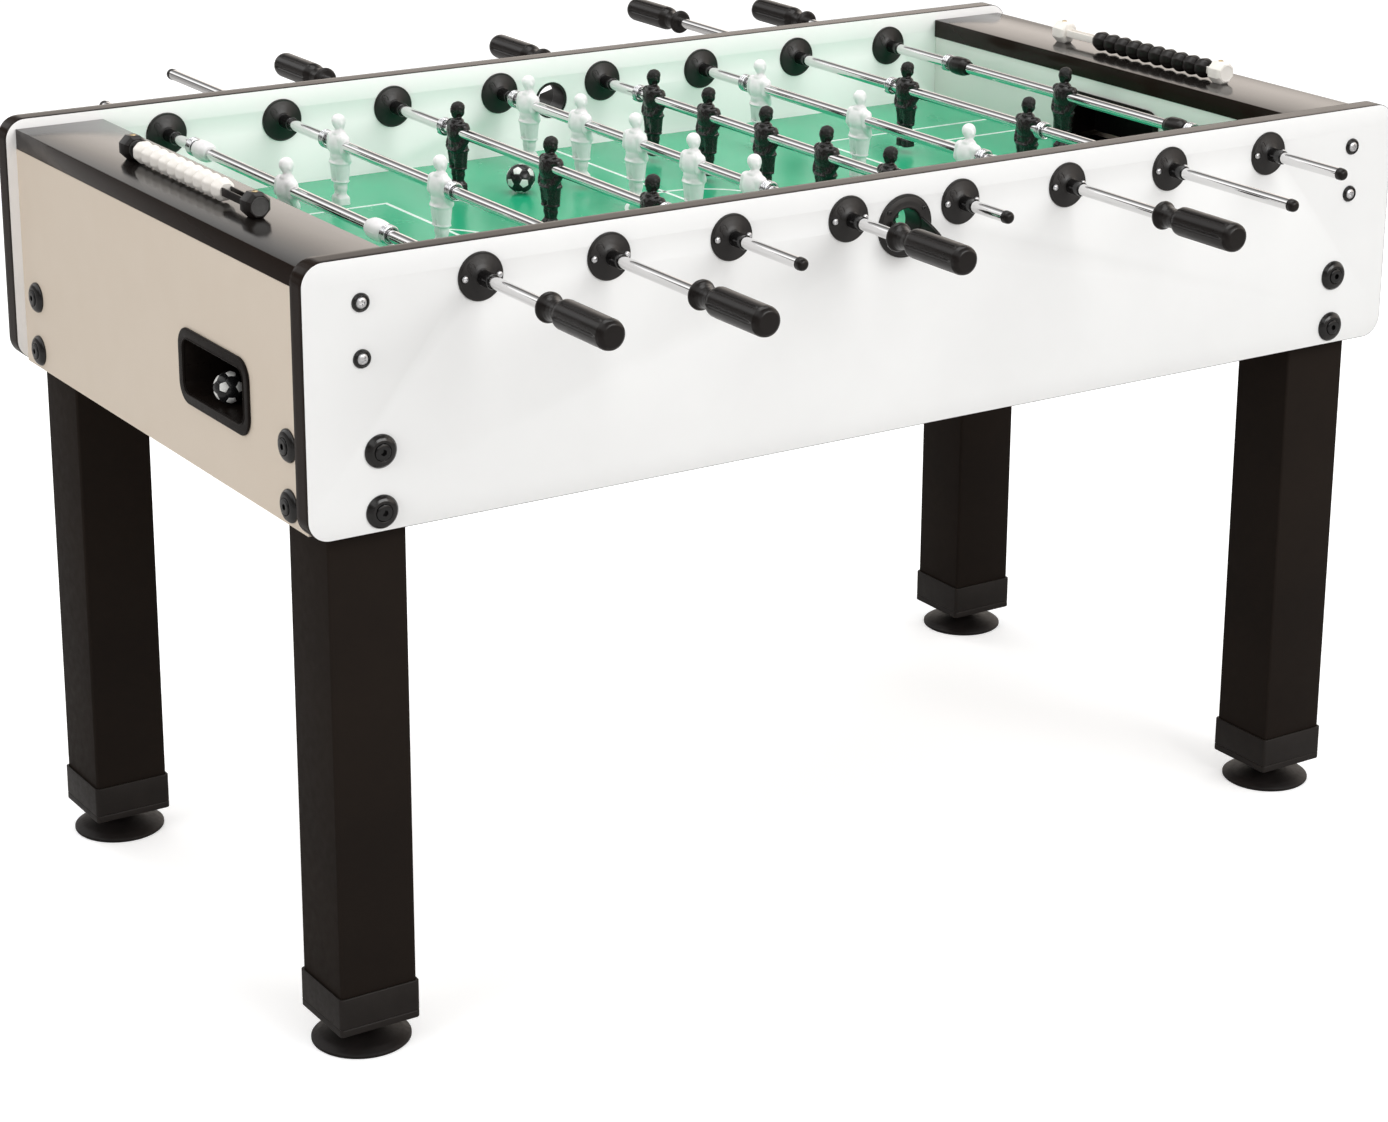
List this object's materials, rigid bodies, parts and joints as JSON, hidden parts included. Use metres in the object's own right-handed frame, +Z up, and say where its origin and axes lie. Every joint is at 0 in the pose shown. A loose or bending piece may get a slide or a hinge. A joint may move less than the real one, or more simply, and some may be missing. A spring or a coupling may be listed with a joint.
{
  "type": "foosball table",
  "caption": "Full-size football table: white cabinet on black square legs, sliding and spinning player rods with handles, green field, bead score counters and ball trays.",
  "frame": {"origin": "on the floor, under the middle of the whole outline with the rods where they stand", "axes": "+X along the playing field, +Y across it, away from the side with the white players' handles, +Z up"},
  "size_m": [1.41, 1.417, 0.8738],
  "materials": {
    "white_laminate": "satin white laminate with dark edges",
    "end_laminate": "satin laminate",
    "pale_wall": "satin laminate",
    "black_rail": "glossy black laminate",
    "green_field": "glossy green playing surface with white lines",
    "raw_board": "plain board",
    "black_plastic": "moulded black plastic",
    "white_plastic": "moulded white plastic",
    "chrome": "polished chrome",
    "black_metal": "satin black powder coat",
    "black_rubber": "black moulded foot",
    "ball_black": "black ball with white patches"
  },
  "bodies": {
    "cabinet": {"front_panel": "white_laminate", "back_panel": "white_laminate", "end_panels": "end_laminate", "goal_walls": "pale_wall", "end_top_rails": "black_rail", "playfield": "green_field", "field_battens": "raw_board", "cabinet_floor": "raw_board", "goal_frames": "black_plastic", "ball_trays": "black_plastic", "ball_entry_cups": "black_plastic", "rod_bearings": "black_plastic", "bearing_screws": "chrome", "legs": "black_metal", "leg_collars": "black_plastic", "leg_bolts": "black_metal", "panel_screws": "chrome", "panel_screw_cups": "black_plastic", "left_score_frame": "black_plastic", "right_score_frame": "white_plastic"},
    "rod_1_carrier": {"rod_1_springs": "chrome"},
    "rod_1": {"rod_1_tube": "chrome", "rod_1_players": "white_plastic", "rod_1_handle": "black_plastic"},
    "rod_2_carrier": {"rod_2_springs": "chrome"},
    "rod_2": {"rod_2_tube": "chrome", "rod_2_players": "white_plastic", "rod_2_handle": "black_plastic"},
    "rod_3_carrier": {"rod_3_springs": "chrome"},
    "rod_3": {"rod_3_tube": "chrome", "rod_3_players": "black_plastic", "rod_3_handle": "black_plastic"},
    "rod_4_carrier": {"rod_4_springs": "chrome"},
    "rod_4": {"rod_4_tube": "chrome", "rod_4_players": "white_plastic", "rod_4_handle": "black_plastic"},
    "rod_5_carrier": {"rod_5_springs": "chrome"},
    "rod_5": {"rod_5_tube": "chrome", "rod_5_players": "black_plastic", "rod_5_handle": "black_plastic"},
    "rod_6_carrier": {"rod_6_springs": "chrome"},
    "rod_6": {"rod_6_tube": "chrome", "rod_6_players": "white_plastic", "rod_6_handle": "black_plastic"},
    "rod_7_carrier": {"rod_7_springs": "chrome"},
    "rod_7": {"rod_7_tube": "chrome", "rod_7_players": "black_plastic", "rod_7_handle": "black_plastic"},
    "rod_8_carrier": {"rod_8_springs": "chrome"},
    "rod_8": {"rod_8_tube": "chrome", "rod_8_players": "black_plastic", "rod_8_handle": "black_plastic"},
    "foot_left_front": {"foot_left_front": "black_rubber"},
    "foot_left_back": {"foot_left_back": "black_rubber"},
    "foot_right_front": {"foot_right_front": "black_rubber"},
    "foot_right_back": {"foot_right_back": "black_rubber"},
    "left_score_beads": {"left_score_beads": "white_plastic"},
    "right_score_beads": {"right_score_beads": "black_plastic"},
    "match_ball": {"match_ball": "ball_black"},
    "tray_ball": {"tray_ball": "ball_black"}
  },
  "joints": [
    {"name": "rod_1_slide", "type": "slide", "parent": "cabinet", "child": "rod_1_carrier", "axis": [0, 1, 0], "range_m": [-0.118, 0.032]},
    {"name": "rod_1_spin", "type": "hinge", "parent": "rod_1_carrier", "child": "rod_1", "pos_m": [-0.5117, 0, 0.8205], "axis": [0, 1, 0], "continuous": true},
    {"name": "rod_2_slide", "type": "slide", "parent": "cabinet", "child": "rod_2_carrier", "axis": [0, 1, 0], "range_m": [-0.252, 0.076]},
    {"name": "rod_2_spin", "type": "hinge", "parent": "rod_2_carrier", "child": "rod_2", "pos_m": [-0.3655, 0, 0.8205], "axis": [0, 1, 0], "continuous": true},
    {"name": "rod_3_slide", "type": "slide", "parent": "cabinet", "child": "rod_3_carrier", "axis": [0, 1, 0], "range_m": [-0.059, 0.091]},
    {"name": "rod_3_spin", "type": "hinge", "parent": "rod_3_carrier", "child": "rod_3", "pos_m": [-0.2193, 0, 0.8205], "axis": [0, 1, 0], "continuous": true},
    {"name": "rod_4_slide", "type": "slide", "parent": "cabinet", "child": "rod_4_carrier", "axis": [0, 1, 0], "range_m": [-0.083, 0.003]},
    {"name": "rod_4_spin", "type": "hinge", "parent": "rod_4_carrier", "child": "rod_4", "pos_m": [-0.0731, 0, 0.8205], "axis": [0, 1, 0], "continuous": true},
    {"name": "rod_5_slide", "type": "slide", "parent": "cabinet", "child": "rod_5_carrier", "axis": [0, 1, 0], "range_m": [-0.035, 0.051]},
    {"name": "rod_5_spin", "type": "hinge", "parent": "rod_5_carrier", "child": "rod_5", "pos_m": [0.0731, 0, 0.8205], "axis": [0, 1, 0], "continuous": true},
    {"name": "rod_6_slide", "type": "slide", "parent": "cabinet", "child": "rod_6_carrier", "axis": [0, 1, 0], "range_m": [-0.084, 0.066]},
    {"name": "rod_6_spin", "type": "hinge", "parent": "rod_6_carrier", "child": "rod_6", "pos_m": [0.2193, 0, 0.8205], "axis": [0, 1, 0], "continuous": true},
    {"name": "rod_7_slide", "type": "slide", "parent": "cabinet", "child": "rod_7_carrier", "axis": [0, 1, 0], "range_m": [-0.159, 0.169]},
    {"name": "rod_7_spin", "type": "hinge", "parent": "rod_7_carrier", "child": "rod_7", "pos_m": [0.3655, 0, 0.8205], "axis": [0, 1, 0], "continuous": true},
    {"name": "rod_8_slide", "type": "slide", "parent": "cabinet", "child": "rod_8_carrier", "axis": [0, 1, 0], "range_m": [-0.063, 0.087]},
    {"name": "rod_8_spin", "type": "hinge", "parent": "rod_8_carrier", "child": "rod_8", "pos_m": [0.5117, 0, 0.8205], "axis": [0, 1, 0], "continuous": true},
    {"name": "foot_left_front_height", "type": "slide", "parent": "cabinet", "child": "foot_left_front", "axis": [0, 0, 1], "range_m": [-0.02, 0.003]},
    {"name": "foot_left_back_height", "type": "slide", "parent": "cabinet", "child": "foot_left_back", "axis": [0, 0, 1], "range_m": [-0.02, 0.003]},
    {"name": "foot_right_front_height", "type": "slide", "parent": "cabinet", "child": "foot_right_front", "axis": [0, 0, 1], "range_m": [-0.02, 0.003]},
    {"name": "foot_right_back_height", "type": "slide", "parent": "cabinet", "child": "foot_right_back", "axis": [0, 0, 1], "range_m": [-0.02, 0.003]},
    {"name": "left_score_slide", "type": "slide", "parent": "cabinet", "child": "left_score_beads", "axis": [0, 1, 0], "range_m": [-0.05, 0.005]},
    {"name": "right_score_slide", "type": "slide", "parent": "cabinet", "child": "right_score_beads", "axis": [0, 1, 0], "range_m": [-0.005, 0.05]},
    {"name": "match_ball_roll", "type": "slide", "parent": "cabinet", "child": "match_ball", "axis": [0, 1, 0], "range_m": [-0.514, 0.158]},
    {"name": "tray_ball_take_out", "type": "slide", "parent": "cabinet", "child": "tray_ball", "axis": [-1, 0, 0], "range_m": [0, 0.06]}
  ]
}
